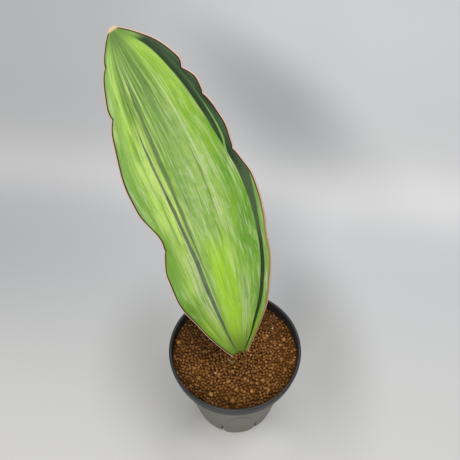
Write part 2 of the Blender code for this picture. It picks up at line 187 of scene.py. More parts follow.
# Painted light on the paper, from the near edge to the far one: pale, with one painted bright strip of
# highlight across.
FLOOR_PAINTED_LIGHT_GRADIENT = (
    (0.00, (0.70, 0.69, 0.665)),
    (0.14, (0.68, 0.675, 0.66)),
    (0.28, (0.655, 0.66, 0.665)),
    (0.40, (0.635, 0.645, 0.665)),
    (0.47, (0.93, 0.92, 0.91)),
    (0.55, (0.69, 0.69, 0.695)),
    (0.72, (0.74, 0.75, 0.755)),
    (1.00, (0.90, 0.905, 0.91)),
)
# Painted shade over the far left of the paper.
FAR_LEFT_PAINTED_SHADE = (0.80, 0.800, 0.805, 1.0)
# Painted shadows of the leaf and round the pot, and one painted pool of light in front of it: centre,
# turn in degrees, half lengths, and what they multiply it by.
FLOOR_PAINTED_SHADOWS_AND_LIGHT = (
    # Painted soft shadow of the leaf, behind it and to its right.
    ((0.055, 0.530), -60.0, (0.40, 0.135), (0.72, 0.725, 0.73)),
    # Painted shade on the right of the pot.
    ((0.095, 0.055), 0.0, (0.080, 0.170), (0.74, 0.735, 0.72)),
    # Painted shade on the left of the pot.
    ((-0.085, 0.055), 0.0, (0.090, 0.140), (0.77, 0.765, 0.755)),
    # Painted pool of light in front of the pot.
    ((0.000, -0.054), 0.0, (0.080, 0.038), (1.40, 1.40, 1.38)),
)


def floor_material():
    material, tree, shader = new_material("floor_paper")
    place = object_place(tree)
    parts = add_node(tree, "ShaderNodeSeparateXYZ", {"Vector": place}).outputs
    slant = calc(tree, "MULTIPLY_ADD", parts["X"], FLOOR_SLANT, parts["Y"])
    depth = add_node(
        tree, "ShaderNodeMapRange", {"Value": slant, "From Min": FLOOR_NEAR, "From Max": FLOOR_FAR},
    ).outputs["Result"]
    # Painted light: the paper's brightness from near to far, with the painted bright strip.
    tone = colour_ramp(tree, depth, FLOOR_PAINTED_LIGHT_GRADIENT, "B_SPLINE")
    # Painted shade: the paper darkened towards the far left.
    to_left, to_back = ease(tree, parts["X"], 0.10, -0.30), ease(tree, parts["Y"], -0.05, 0.20)
    far_left = calc(tree, "MULTIPLY", to_left, to_back)
    dimming = blend_colour(tree, far_left, (1.0, 1.0, 1.0, 1.0), FAR_LEFT_PAINTED_SHADE)
    tone = blend_colour(tree, 1.0, tone, dimming, "MULTIPLY")
    # Painted shadows of the leaf and round the pot, and a painted pool of light in front of it.
    for centre, turn, reach, tint in FLOOR_PAINTED_SHADOWS_AND_LIGHT:
        oval = add_node(
            tree, "ShaderNodeMapping", {
                "Vector": place, "Location": (*centre, 0),
                "Rotation": (0, 0, math.radians(turn)), "Scale": (*reach, 1),
            },
            vector_type="TEXTURE",
        ).outputs[0]
        near = ease(tree, vector_calc(tree, "LENGTH", oval), 1.0, 0.1)
        tone = blend_colour(tree, near, tone, (*tint, 1.0), "MULTIPLY")
    tree.links.new(tone, shader.inputs["Base Color"])
    shader.inputs["Roughness"].default_value = 0.6
    return material


def mesh_from(shape, name):
    """The finished bmesh as a mesh."""
    mesh = bpy.data.meshes.new(name)
    shape.to_mesh(mesh)
    shape.free()
    return mesh


floor_shape = bmesh.new()
bmesh.ops.create_circle(floor_shape, cap_ends=True, segments=64, radius=FLOOR_REACH)
floor = add_piece("floor", mesh_from(floor_shape, "floor"))
floor.data.materials.append(floor_material())

# ------------------------------------------------------------------------------------------------
# Leaf. One broad succulent blade, thick at the midrib and thin at its margins, channelled where
# it leaves the soil and nearly flat above. Light green variegated tissue with dark green bands
# that follow the veins, and a hard reddish rim.
# ------------------------------------------------------------------------------------------------
LEAF_FOOT = Vector((0.0024, 0.0020))
LEAF_RISE = 0.2865
LEAN_LEFT, TIP_SWEEP = 0.046, 0.033
LEAN_BACK, TIP_BACK = 0.036, 0.032
BURIED = 0.0160
THICK_FOOT, THICK_MID, THICK_EDGE = 0.0042, 0.0032, 0.0014
TURN_FOOT, TURN_BLADE, TURN_FADE = math.radians(25), math.radians(4), 0.12
CHANNEL_FOOT, CHANNEL_BLADE, CHANNEL_FADE = 0.0095, 0.0920, 0.20

# Share of the height, width from the midrib to the left margin, and to the right one.
MARGINS = (
    (0.00, 0.0086, 0.0117),
    (0.04, 0.0134, 0.0169),
    (0.10, 0.0203, 0.0239),
    (0.20, 0.0305, 0.0340),
    (0.25, 0.0355, 0.0383),
    (0.30, 0.0385, 0.0413),
    (0.40, 0.0404, 0.0464),
    (0.50, 0.0424, 0.0480),
    (0.60, 0.0436, 0.0484),
    (0.70, 0.0441, 0.0440),
    (0.80, 0.0380, 0.0362),
    (0.88, 0.0296, 0.0308),
    (0.94, 0.0202, 0.0217),
    (0.98, 0.0092, 0.0094),
    (1.00, 0.0011, 0.0014),
)

# Dents in the margins: side, share of the height, depth, half span as a share.
DENTS = (
    (-1, 0.505, 0.0078, 0.115),
    (-1, 0.850, 0.0014, 0.030),
    (-1, 0.948, 0.0008, 0.020),
    (1, 0.480, 0.0008, 0.060),
    (1, 0.706, 0.0044, 0.066),
    (1, 0.830, 0.0013, 0.030),
    (1, 0.884, 0.0024, 0.022),
)

# How far the hard rim stands past the widths above: all up the left, and right at the foot and tip.
RIM_SPREAD_LEFT, RIM_SPREAD_FOOT, RIM_SPREAD_TIP = 0.0008, -0.0002, 0.0008

# Small sharp nicks in the hard rim: side, share of the height, depth, half span as a share.
NICKS = (
    (-1, 0.478, 0.0010, 0.012),
    (-1, 0.852, 0.0011, 0.012),
    (-1, 0.948, 0.0009, 0.008),
    (1, 0.706, 0.0012, 0.012),
    (1, 0.829, 0.0011, 0.010),
    (1, 0.886, 0.0014, 0.012),
    (1, 0.470, 0.0005, 0.006),
    (1, 0.560, 0.0005, 0.006),
)


def smooth_value(points, at):
    """A smooth curve through (place, value) points, read at one place."""
    if at <= points[0][0]:
        return points[0][1]
    if at >= points[-1][0]:
        return points[-1][1]
    last = len(points) - 1
    low = max(i for i in range(last) if points[i][0] <= at)
    place = [points[min(max(low + step, 0), last)][0] for step in (-1, 0, 1, 2)]
    value = [points[min(max(low + step, 0), last)][1] for step in (-1, 0, 1, 2)]
    span = place[2] - place[1]
    share = (at - place[1]) / span
    slope_in = (value[2] - value[0]) / (place[2] - place[0]) * span
    slope_out = (value[3] - value[1]) / (place[3] - place[1]) * span
    square, cube = share * share, share ** 3
    return (
        (2 * cube - 3 * square + 1) * value[1]
        + (cube - 2 * square + share) * slope_in
        + (3 * square - 2 * cube) * value[2]
        + (cube - square) * slope_out
    )


def midrib(share):
    grown = max(share, 0.0)
    return Vector((
        LEAF_FOOT.x - LEAN_LEFT * share - TIP_SWEEP * grown ** 4.2,
        LEAF_FOOT.y + LEAN_BACK * share + TIP_BACK * grown ** 2,
        SOIL_TOP_Z + LEAF_RISE * share,
    ))


def leaf_axes(share):
    """Across the blade, and out of its hollow face."""
    along = (midrib(share + 0.001) - midrib(share - 0.001)).normalized()
    fade = math.exp(-max(share, 0.0) / TURN_FADE)
    turn = TURN_BLADE + (TURN_FOOT - TURN_BLADE) * fade
    across = Vector((math.cos(turn), math.sin(turn), 0.0))
    across = (across - along * along.dot(across)).normalized()
    return across, across.cross(along)


def plain_width(side, share):
    column = 1 if side < 0 else 2
    return smooth_value([(row[0], row[column]) for row in MARGINS], share)


def dent_depth(side, share):
    depth = 0.0
    for dent_side, place, deepest, span in DENTS:
        away = abs(share - place) / span
        if dent_side * side > 0 and away < 1:
            depth += deepest * (1 - away) ** 2 * (1 + 2 * away)
    return depth


def nick_depth(side, share):
    depth = 0.0
    for nick_side, place, deepest, span in NICKS:
        away = abs(share - place) / span
        if nick_side * side > 0 and away < 1:
            depth += deepest * (1 - away) ** 2
    return depth


def half_thickness(share, lateral, from_margin):
    """Half the blade's thickness: rounded off at the margin, fullest at the midrib."""
    middle = smooth_value(((0.0, THICK_FOOT), (0.5, THICK_MID), (1.0, THICK_EDGE)), share)
    body = (THICK_EDGE + (middle - THICK_EDGE) * (1 - lateral * lateral)) / 2
    rounding = THICK_EDGE / 2
    if from_margin < rounding:
        body *= math.sqrt(max(1 - (1 - from_margin / rounding) ** 2, 0.0004))
    return body


LEAF_ROWS, LEAF_COLUMNS, BURIED_ROWS = 340, 100, 16
RIPPLE_DEPTH, RIPPLE_PITCH = 0.0005, 31


def build_leaf():
    """The blade as a fine loft, with what its colours follow kept on its points."""
    start = -BURIED / LEAF_RISE
    shares = [start + (0 - start) * row / BURIED_ROWS for row in range(BURIED_ROWS)]
    shares += [row / LEAF_ROWS for row in range(LEAF_ROWS + 1)]
    places, veins, rises, edges, faces_of = [], [], [], [], []
    for share in shares:
        across, facing = leaf_axes(share)
        spine = midrib(share)
        radius = CHANNEL_FOOT + CHANNEL_BLADE * (1 - math.exp(-max(share, 0.0) / CHANNEL_FADE))
        plain = {side: plain_width(side, share) for side in (-1, 1)}
        widening = (RIM_SPREAD_TIP - RIM_SPREAD_FOOT) * max(share, 0.0)
        spread = {-1: RIM_SPREAD_LEFT, 1: RIM_SPREAD_FOOT + widening}
        widths = {
            side: plain[side] - dent_depth(side, share) - nick_depth(side, share) + spread[side]
            for side in (-1, 1)
        }
        for face in (1, -1):
            for column in range(LEAF_COLUMNS + 1):
                lateral = face * math.sin(math.pi / 2 * (2 * column / LEAF_COLUMNS - 1))
                side = -1 if lateral < 0 else 1
                width = widths[side]
                reach = abs(lateral) * width
                from_margin = width - reach
                lift = face * half_thickness(share, lateral, from_margin)
                swing = side * reach / radius
                near = lateral ** 4 * min(max(share, 0.0) * 5, 1.0)
                ripple = RIPPLE_DEPTH * near * math.sin(RIPPLE_PITCH * share + 1.3 * side)
                point = spine + across * (radius - lift) * math.sin(swing)
                point += facing * (radius - (radius - lift) * math.cos(swing) + ripple)
                places.append(point)
                veins.append(side * reach / plain[side])
                rises.append(share)
                edges.append(from_margin * 1000)
                faces_of.append(float(face))
    count = 2 * (LEAF_COLUMNS + 1)
    faces = []
    for row in range(len(shares) - 1):
        low, high = row * count, (row + 1) * count
        for index in range(count):
            after = (index + 1) % count
            faces.append((low + index, low + after, high + after, high + index))
    half = count // 2
    for base in (0, (len(shares) - 1) * count):
        for column in range(half - 1):
            back = count - 1 - column
            faces.append((base + column, base + column + 1, base + back - 1, base + back))
    mesh = bpy.data.meshes.new("leaf_blade")
    mesh.from_pydata([tuple(point) for point in places], [], faces)
    for name, values in (("vein", veins), ("rise", rises), ("edge", edges), ("face_side", faces_of)):
        mesh.attributes.new(name, "FLOAT", "POINT").data.foreach_set("value", values)
    shape = bmesh.new()
    shape.from_mesh(mesh)
    bmesh.ops.recalc_face_normals(shape, faces=shape.faces)
    shape.to_mesh(mesh)
    shape.free()
    mesh.shade_smooth()
    return mesh


def add_bump(tree, shader, height, strength, distance):
    made = add_node(tree, "ShaderNodeBump", {"Height": height, "Strength": strength, "Distance": distance})
    tree.links.new(made.outputs["Normal"], shader.inputs["Normal"])


def attribute(tree, name):
    return add_node(tree, "ShaderNodeAttribute", attribute_name=name).outputs["Fac"]


def noise(tree, vector, scale, detail=3.0, roughness=0.55):
    made = add_node(
        tree, "ShaderNodeTexNoise",
        {"Vector": vector, "Scale": scale, "Detail": detail, "Roughness": roughness},
    )
    return made.outputs["Fac"]


def value_curve(tree, at, points):
    """A smooth curve of given (place, value) points, both 0 to 1."""
    made = add_node(tree, "ShaderNodeFloatCurve", {"Value": at})
    curve = made.mapping.curves[0]
    curve.points[0].location = points[0]
    curve.points[-1].location = points[-1]
    for place in points[1:-1]:
        curve.points.new(*place)
    made.mapping.update()
    return made.outputs["Value"]


# Dark bands. Centre and half width are shares of the blade, 0 the left margin, 0.5 the midrib and
# 1 the right margin, at shares of the height.
LEFT_BAND = (
    ((0.0, 0.37), (0.05, 0.365), (0.10, 0.362), (0.18, 0.357), (0.26, 0.354), (0.34, 0.339),
     (0.42, 0.324), (0.50, 0.303), (0.60, 0.283), (0.70, 0.266), (0.78, 0.244), (0.86, 0.226), (1.0, 0.20)),
    ((0.0, 0.016), (0.05, 0.026), (0.12, 0.024), (0.20, 0.022), (0.30, 0.021), (0.40, 0.019),
     (0.50, 0.016), (0.65, 0.012), (0.78, 0.008), (0.82, 0.0), (1.0, 0.0)),
)
MIDDLE_BAND = (
    ((0.0, 0.39), (0.35, 0.388), (0.41, 0.374), (0.47, 0.360), (0.54, 0.346), (0.60, 0.341),
     (0.68, 0.334), (0.78, 0.315), (0.88, 0.304), (1.0, 0.29)),
    ((0.0, 0.0), (0.28, 0.0), (0.38, 0.007), (0.50, 0.011), (0.60, 0.015), (0.70, 0.018),
     (0.80, 0.018), (0.88, 0.012), (0.95, 0.0), (1.0, 0.0)),
)
RIGHT_BAND_INNER = (
    (0.0, 0.80), (0.04, 0.835), (0.08, 0.862), (0.15, 0.868), (0.21, 0.880), (0.28, 0.896), (0.34, 0.904),
    (0.41, 0.910), (0.50, 0.914), (0.58, 0.905), (0.66, 0.892), (0.72, 0.872), (0.80, 0.866),
    (0.90, 0.828), (0.96, 0.824), (1.0, 0.80),
)
RIGHT_BAND_OUTER = (
    (0.0, 0.845), (0.04, 0.875), (0.08, 0.895), (0.15, 0.912), (0.21, 0.921), (0.28, 0.936), (0.34, 0.943),
    (0.41, 0.945), (0.50, 0.950), (0.58, 0.958), (0.64, 0.979), (0.68, 1.0), (1.0, 1.0),
)
LIGHT_STRIPE = (
    ((0.0, 0.80), (0.66, 0.867), (0.70, 0.874), (0.74, 0.912), (0.79, 0.930), (0.84, 0.920), (1.0, 0.87)),
    ((0.0, 0.0), (0.66, 0.0), (0.69, 0.006), (0.74, 0.009), (0.79, 0.006), (0.85, 0.0), (1.0, 0.0)),
)
THIN_LEFT = (
    ((0.0, 0.42), (0.57, 0.416), (0.67, 0.403), (1.0, 0.36)),
    ((0.0, 0.0), (0.55, 0.0), (0.59, 0.005), (0.66, 0.004), (0.69, 0.0), (1.0, 0.0)),
)
THIN_RIGHT = (
    ((0.0, 0.62), (0.54, 0.624), (0.65, 0.613), (0.77, 0.604), (1.0, 0.56)),
    ((0.0, 0.0), (0.52, 0.0), (0.57, 0.005), (0.66, 0.007), (0.75, 0.004), (0.80, 0.0), (1.0, 0.0)),
)
FOOT_RIGHT = (
    ((0.0, 0.775), (0.05, 0.788), (0.125, 0.776), (0.20, 0.772), (1.0, 0.76)),
    ((0.0, 0.007), (0.08, 0.008), (0.13, 0.005), (0.18, 0.0), (1.0, 0.0)),
)

PALE_LINE = (
    ((0.0, 0.66), (0.50, 0.655), (0.65, 0.650), (0.80, 0.640), (0.90, 0.625), (1.0, 0.60)),
    ((0.0, 0.0), (0.45, 0.0), (0.55, 0.003), (0.70, 0.006), (0.85, 0.005), (0.93, 0.0), (1.0, 0.0)),
)


def band_mask(tree, across, rise, band, softness=0.006):
    centre = value_curve(tree, rise, band[0])
    half = value_curve(tree, rise, band[1])
    away = calc(tree, "ABSOLUTE", calc(tree, "SUBTRACT", across, centre))
    inside = calc(tree, "SUBTRACT", half, away)
    return ease(tree, inside, -softness, softness)


def leaf_material():
    material, tree, shader = new_material("variegated_leaf")
    vein, rise, edge = (attribute(tree, name) for name in ("vein", "rise", "edge"))
    across = calc(tree, "MULTIPLY_ADD", vein, 0.5, 0.5)
    climbed = calc(tree, "POWER", calc(tree, "MAXIMUM", rise, 0.0), 1.5)
    line = calc(tree, "MULTIPLY_ADD", climbed, 0.30, vein)
    grain_place = add_node(tree, "ShaderNodeCombineXYZ", {"X": line, "Y": rise}).outputs[0]

    def streak(across_scale, along_scale, detail, shift=0.0):
        """Noise drawn out along the veins."""
        stretch = (across_scale, along_scale, 1)
        place = add_node(
            tree, "ShaderNodeMapping",
            {"Vector": grain_place, "Location": (shift, shift, shift), "Scale": stretch},
        ).outputs[0]
        return noise(tree, place, 1.0, detail)

    def between(value, low, full, high, gone):
        """1 from full to high, 0 outside low and gone."""
        return calc(tree, "MULTIPLY", ease(tree, value, low, full), ease(tree, value, gone, high))

    def paint(under, colour, amount, *masks):
        """A plain colour or a socket laid over another, as far as the masks let it."""
        if isinstance(colour, tuple):
            colour = (*colour, 1.0)
        share = amount
        for mask in masks:
            share = calc(tree, "MULTIPLY", mask, share)
        return blend_colour(tree, share, under, colour)

    wide = streak(6.0, 2.2, 3.0, 4.0)
    medium = streak(15.0, 5.0, 4.0, 7.0)
    fine = streak(42.0, 11.0, 3.0)
    hair = streak(115.0, 22.0, 2.0, 9.0)
    blotch = streak(7.0, 38.0, 3.0, 2.0)
    patch = streak(5.0, 9.0, 4.0, 5.0)

    # Ground: yellow-green, bluer at the margins, palest left of the midrib, deeper at the foot.
    ground = colour_ramp(tree, across, (
        (0.00, (0.220, 0.410, 0.120)),
        (0.06, (0.290, 0.510, 0.100)),
        (0.17, (0.500, 0.770, 0.110)),
        (0.31, (0.580, 0.790, 0.190)),
        (0.39, (0.340, 0.550, 0.100)),
        (0.47, (0.310, 0.530, 0.090)),
        (0.58, (0.370, 0.610, 0.080)),
        (0.70, (0.330, 0.570, 0.075)),
        (0.84, (0.220, 0.450, 0.040)),
        (0.96, (0.250, 0.450, 0.090)),
    ))
    # Zones: tint, strength, then where each starts, is full and ends, first across and then up.
    for tint, amount, sideways, upwards, *broken in (
        ((0.330, 0.500, 0.150), 0.60, (0.34, 0.42, 0.64, 0.76), (0.45, 0.60, 0.80, 0.95)),
        ((0.440, 0.760, 0.030), 0.92, (0.42, 0.50, 0.60, 0.72), (0.03, 0.14, 0.38, 0.52)),
        ((0.560, 0.660, 0.320), 0.85, (0.18, 0.28, 0.33, 0.36), (0.04, 0.12, 0.36, 0.60),
         ease(tree, medium, 0.30, 0.55)),
        ((0.600, 0.740, 0.340), 0.90, (0.69, 0.73, 0.76, 0.81), (0.05, 0.12, 0.26, 0.40)),
        ((0.110, 0.330, 0.015), 0.90, (0.70, 0.79, 0.88, 0.94), (0.34, 0.46, 0.70, 0.80),
         ease(tree, patch, 0.42, 0.58)),
        ((0.260, 0.520, 0.015), 0.85, (0.60, 0.70, 0.80, 0.86), (0.66, 0.76, 0.82, 0.90)),
        ((0.640, 0.880, 0.200), 0.50, (0.06, 0.14, 0.30, 0.34), (0.46, 0.56, 0.72, 0.82)),
        ((0.440, 0.720, 0.080), 0.70, (0.60, 0.70, 0.80, 0.86), (0.80, 0.87, 0.94, 0.99)),
    ):
        ground = paint(ground, tint, amount, between(across, *sideways), between(rise, *upwards), *broken)
    ground = paint(ground, (0.130, 0.300, 0.010), 0.92, ease(tree, across, 0.28, 0.14),
                   between(rise, 0.04, 0.10, 0.24, 0.34))
    ground = paint(ground, (0.120, 0.270, 0.020), 0.65, ease(tree, across, 0.78, 0.90),
                   between(rise, 0.02, 0.08, 0.28, 0.38))

    # Patches, then streaks along the veins from broad to hair-thin, pale and deep.
    for texture, tint, amount, none, full in (
        (patch, (0.200, 0.430, 0.020), 0.55, 0.47, 0.36), (patch, (0.560, 0.740, 0.220), 0.55, 0.54, 0.68),
        (wide, (0.180, 0.380, 0.050), 0.50, 0.48, 0.34), (wide, (0.540, 0.740, 0.180), 0.45, 0.54, 0.70),
        (medium, (0.140, 0.330, 0.040), 0.62, 0.45, 0.32), (medium, (0.620, 0.760, 0.380), 0.62, 0.54, 0.68),
        (fine, (0.130, 0.290, 0.050), 0.55, 0.45, 0.33), (fine, (0.680, 0.800, 0.480), 0.50, 0.56, 0.68),
        (hair, (0.170, 0.340, 0.070), 0.35, 0.46, 0.34),
    ):
        ground = paint(ground, tint, amount, ease(tree, texture, none, full))
    ground = paint(ground, (0.410, 0.720, 0.040), 0.55, between(across, 0.42, 0.50, 0.60, 0.70),
                   between(rise, 0.04, 0.12, 0.36, 0.50))

    # Pale marks that lie across the veins in the upper middle of the blade.
    middle = between(across, 0.34, 0.46, 0.70, 0.80)
    upper = between(rise, 0.40, 0.58, 0.84, 0.93)
    ground = paint(ground, (0.520, 0.660, 0.340), 0.42, middle, upper, ease(tree, blotch, 0.50, 0.72))
    ground = paint(ground, (0.210, 0.400, 0.090), 0.40, middle, upper, ease(tree, blotch, 0.48, 0.32))
    ground = paint(ground, (0.640, 0.740, 0.420), 0.55, band_mask(tree, across, rise, PALE_LINE, 0.008),
                   ease(tree, medium, 0.30, 0.55))

    # A deeper patch under the big notch, and the lower blade richer than the upper.
    ground = paint(ground, (0.170, 0.370, 0.035), 0.75, ease(tree, across, 0.26, 0.10),
                   between(rise, 0.26, 0.40, 0.50, 0.58))
    ground = paint(ground, (0.350, 0.590, 0.030), 0.40, ease(tree, rise, 0.24, 0.12))

    # Olive streaks fan out from the tip, and everything deepens where the blade leaves the soil.
    fan = between(across, 0.12, 0.24, 0.52, 0.64)
    olive = paint(ground, (0.110, 0.220, 0.050), 0.75, ease(tree, medium, 0.60, 0.42))
    olive = paint(olive, (0.045, 0.110, 0.025), 0.65, ease(tree, fine, 0.48, 0.36))
    fanned = calc(tree, "MULTIPLY", fan, ease(tree, rise, 0.68, 0.90))
    ground = blend_colour(tree, fanned, ground, olive)
    ground = paint(ground, (0.150, 0.280, 0.050), 0.55, fan, ease(tree, rise, 0.86, 0.95))
    ground = paint(ground, (0.110, 0.210, 0.045), 0.60, ease(tree, rise, 0.955, 0.99))
    ground = paint(ground, (0.170, 0.320, 0.040), 0.50, ease(tree, rise, 0.13, 0.02))
    ground = paint(ground, (0.120, 0.220, 0.030), 0.45, ease(tree, rise, 0.05, 0.0))

    # Dark bands, with their sides frayed along the veins.
    frayed = calc(tree, "ADD", across, calc(tree, "MULTIPLY", calc(tree, "SUBTRACT", fine, 0.5), 0.030))
    dust = streak(90.0, 70.0, 3.0, 3.0)
    worn = calc(tree, "MAXIMUM", ease(tree, hair, 0.34, 0.66), ease(tree, dust, 0.46, 0.66))
    grey_green = blend_colour(tree, worn, (0.048, 0.082, 0.042, 1), (0.170, 0.230, 0.150, 1))
    deep_green = blend_colour(tree, worn, (0.035, 0.085, 0.025, 1), (0.120, 0.200, 0.085, 1))
    for band, tint, amount, softness in (
        (LEFT_BAND, grey_green, 0.95, 0.006), (MIDDLE_BAND, deep_green, 0.80, 0.010),
        (THIN_LEFT, deep_green, 0.50, 0.005), (THIN_RIGHT, deep_green, 0.55, 0.005),
        (FOOT_RIGHT, deep_green, 0.80, 0.006),
    ):
        ground = paint(ground, tint, amount, band_mask(tree, frayed, rise, band, softness))
    inner = value_curve(tree, rise, RIGHT_BAND_INNER)
    outer = value_curve(tree, rise, RIGHT_BAND_OUTER)
    frayed = calc(tree, "MULTIPLY_ADD", calc(tree, "SUBTRACT", hair, 0.5), 0.012, across)
    past_inner = ease(tree, calc(tree, "SUBTRACT", frayed, inner), -0.003, 0.005)
    short_of_outer = ease(tree, calc(tree, "SUBTRACT", outer, frayed), -0.006, 0.006)
    short_of_outer = calc(tree, "MAXIMUM", short_of_outer, ease(tree, rise, 0.64, 0.69))
    into_band = calc(tree, "SUBTRACT", across, inner)
    clouded = calc(tree, "MULTIPLY", ease(tree, into_band, 0.02, 0.09), ease(tree, patch, 0.34, 0.60))
    dark_green = blend_colour(tree, clouded, (0.012, 0.032, 0.009, 1), (0.062, 0.120, 0.052, 1))
    dark_green = paint(dark_green, (0.080, 0.150, 0.066), 0.45, ease(tree, fine, 0.56, 0.68))
    dark_green = paint(dark_green, (0.075, 0.135, 0.062), 0.40, ease(tree, dust, 0.50, 0.66))
    dark_green = paint(dark_green, (0.105, 0.170, 0.080), 0.55, between(rise, 0.44, 0.52, 0.62, 0.70))
    ground = paint(ground, dark_green, 0.98, past_inner, short_of_outer, ease(tree, rise, -0.05, 0.02),
                   ease(tree, rise, 0.975, 0.955))
    ground = paint(ground, (0.250, 0.460, 0.100), 0.90, band_mask(tree, across, rise, LIGHT_STRIPE, 0.004))

    # The hard rim: dark reddish brown with a pale outer lip, tan low on the right; dry cream tip.
    right_low = calc(tree, "MULTIPLY", ease(tree, vein, -0.1, 0.1), ease(tree, rise, 0.66, 0.50))
    brown = blend_colour(tree, right_low, (0.048, 0.018, 0.010, 1), (0.300, 0.200, 0.060, 1))
    inner_rim = ease(tree, calc(tree, "MULTIPLY_ADD", fine, 0.6, edge), 2.15, 1.65)
    ground = paint(ground, brown, 0.95, inner_rim)
    pale_lip = blend_colour(tree, right_low, (0.800, 0.560, 0.440, 1), (0.620, 0.380, 0.220, 1))
    ground = paint(ground, pale_lip, 0.95, ease(tree, edge, 0.70, 0.45))
    ground = paint(ground, (0.820, 0.600, 0.360), 1.0, ease(tree, rise, 0.9925, 0.9960))
    tree.links.new(ground, shader.inputs["Base Color"])

    roughness = add_node(
        tree, "ShaderNodeMapRange", {"Value": fine, "To Min": 0.42, "To Max": 0.58},
    ).outputs["Result"]
    tree.links.new(roughness, shader.inputs["Roughness"])
    shader.inputs["Specular IOR Level"].default_value = 0.24
    ridges = calc(tree, "MULTIPLY_ADD", hair, 0.4, fine)
    add_bump(tree, shader, ridges, 0.30, 0.0006)
    return material


leaf_blade = add_piece("leaf_blade", build_leaf())
leaf_blade.data.materials.append(leaf_material())
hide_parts("leaf")
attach(leaf_blade, GROWN)

# ------------------------------------------------------------------------------------------------
# Pot. One thin injection-moulded shell of black polypropylene: a rolled lip, an upright collar, a
# tapered wall set in under it, eight drain slits at the foot and four raised arches.
# ------------------------------------------------------------------------------------------------
RIM_RADIUS = pot_high.x
LIP_WIDTH, LIP_HEIGHT = 0.0028, 0.0030
COLLAR_HEIGHT, COLLAR_STEP, SHOULDER_HEIGHT = 0.0100, 0.0050, 0.0015
BASE_RADIUS, FOOT_ROUNDING, WALL = 0.0407, 0.0014, 0.0013
SLOT_COUNT, SLOT_FOOT_WIDTH, SLOT_TOP_WIDTH, SLOT_HEIGHT, SLOT_DEPTH = 8, 0.0030, 0.0010, 0.0240, 0.0080
SLOT_START = math.radians(-106.5)
PANEL_WIDTH, PANEL_HEIGHT, PANEL_CROWN, PANEL_RELIEF = 0.0256, 0.0660, 0.0280, 0.0007
POT_SEGMENTS = 288
COLLAR_RADIUS = RIM_RADIUS - LIP_WIDTH / 2
WALL_TOP_RADIUS = COLLAR_RADIUS - COLLAR_STEP
COLLAR_Z = RIM_Z - LIP_HEIGHT - COLLAR_HEIGHT
WALL_TOP_Z = COLLAR_Z - SHOULDER_HEIGHT


def wall_radius(height):
    return BASE_RADIUS + (WALL_TOP_RADIUS - BASE_RADIUS) * height / WALL_TOP_Z


def arc(centre, radius, start, end, steps):
    """Points of (radius, height) along an arc, angles in degrees from straight outwards."""
    points = []
    for step in range(steps + 1):
        angle = math.radians(start + (end - start) * step / steps)
        points.append((centre[0] + radius * math.cos(angle), centre[1] + radius * math.sin(angle)))
    return points


def line(start, end, steps):
    """Points between two others, ends left out."""
    return [
        (start[0] + (end[0] - start[0]) * step / steps, start[1] + (end[1] - start[1]) * step / steps)
        for step in range(1, steps)
    ]


def pot_profile():
    """Inside of the base, up the wall, over the lip, down the outside and under the base."""
    toe = BASE_RADIUS - FOOT_ROUNDING - WALL
    inside_wall = (wall_radius(WALL_TOP_Z) - WALL, WALL_TOP_Z)
    inside_collar = (COLLAR_RADIUS - WALL, COLLAR_Z)
    lip = LIP_WIDTH / 2
    profile = [(0.0, WALL)] + line((0.0, WALL), (toe, WALL), 8)
    profile += arc((toe, WALL + FOOT_ROUNDING), FOOT_ROUNDING, -90, -8, 5)
    profile += line(profile[-1], inside_wall, 12) + [inside_wall]
    profile += line(inside_wall, inside_collar, 3) + [inside_collar]
    lip_centre = (RIM_RADIUS - lip, RIM_Z - lip)
    profile += line(inside_collar, (RIM_RADIUS - LIP_WIDTH, RIM_Z - lip), 3)
    profile += arc(lip_centre, lip, 180, 0, 12)
    profile += arc((RIM_RADIUS - 0.0005, RIM_Z - LIP_HEIGHT + 0.0005), 0.0005, 0, -90, 4)
    profile += [(COLLAR_RADIUS + 0.0002, RIM_Z - LIP_HEIGHT), (COLLAR_RADIUS, RIM_Z - LIP_HEIGHT - 0.0003)]
    profile += line(profile[-1], (COLLAR_RADIUS, COLLAR_Z + 0.0005), 4)
    profile += arc((COLLAR_RADIUS - 0.0005, COLLAR_Z + 0.0005), 0.0005, 0, -75, 4)
    profile += line(profile[-1], (WALL_TOP_RADIUS + 0.0004, WALL_TOP_Z + 0.0001), 4)
    profile += [(WALL_TOP_RADIUS + 0.0001, WALL_TOP_Z - 0.0002)]
    profile += [(wall_radius(WALL_TOP_Z - 0.0008), WALL_TOP_Z - 0.0008)]
    panel_top = (wall_radius(PANEL_HEIGHT + 0.002), PANEL_HEIGHT + 0.002)
    profile += line(profile[-1], panel_top, 6) + [panel_top]
    foot = (wall_radius(FOOT_ROUNDING), FOOT_ROUNDING)
    profile += line(panel_top, foot, 90)
    profile += arc((BASE_RADIUS - FOOT_ROUNDING, FOOT_ROUNDING), FOOT_ROUNDING, 0, -90, 5)
    profile += line(profile[-1], (0.0, 0.0), 6) + [(0.0, 0.0)]
    return profile


def smooth_step(value, low, high):
    share = min(max((value - low) / (high - low), 0.0), 1.0)
    return share * share * (3 - 2 * share)


def arch_relief(angle, height):
    """How far the wall stands out at a bearing and height: four arches between pairs of slits."""
    step = math.tau / SLOT_COUNT
    centre = SLOT_START + step / 2
    turn = (angle - centre + step) % (2 * step) - step
    half = PANEL_WIDTH / 2
    across = abs(turn) * wall_radius(height)
    rise = max(height - (PANEL_HEIGHT - PANEL_CROWN), 0.0) / PANEL_CROWN
    inside = 1 - math.hypot(across / half, rise)
    return PANEL_RELIEF * smooth_step(inside * half, -0.0003, 0.0005)


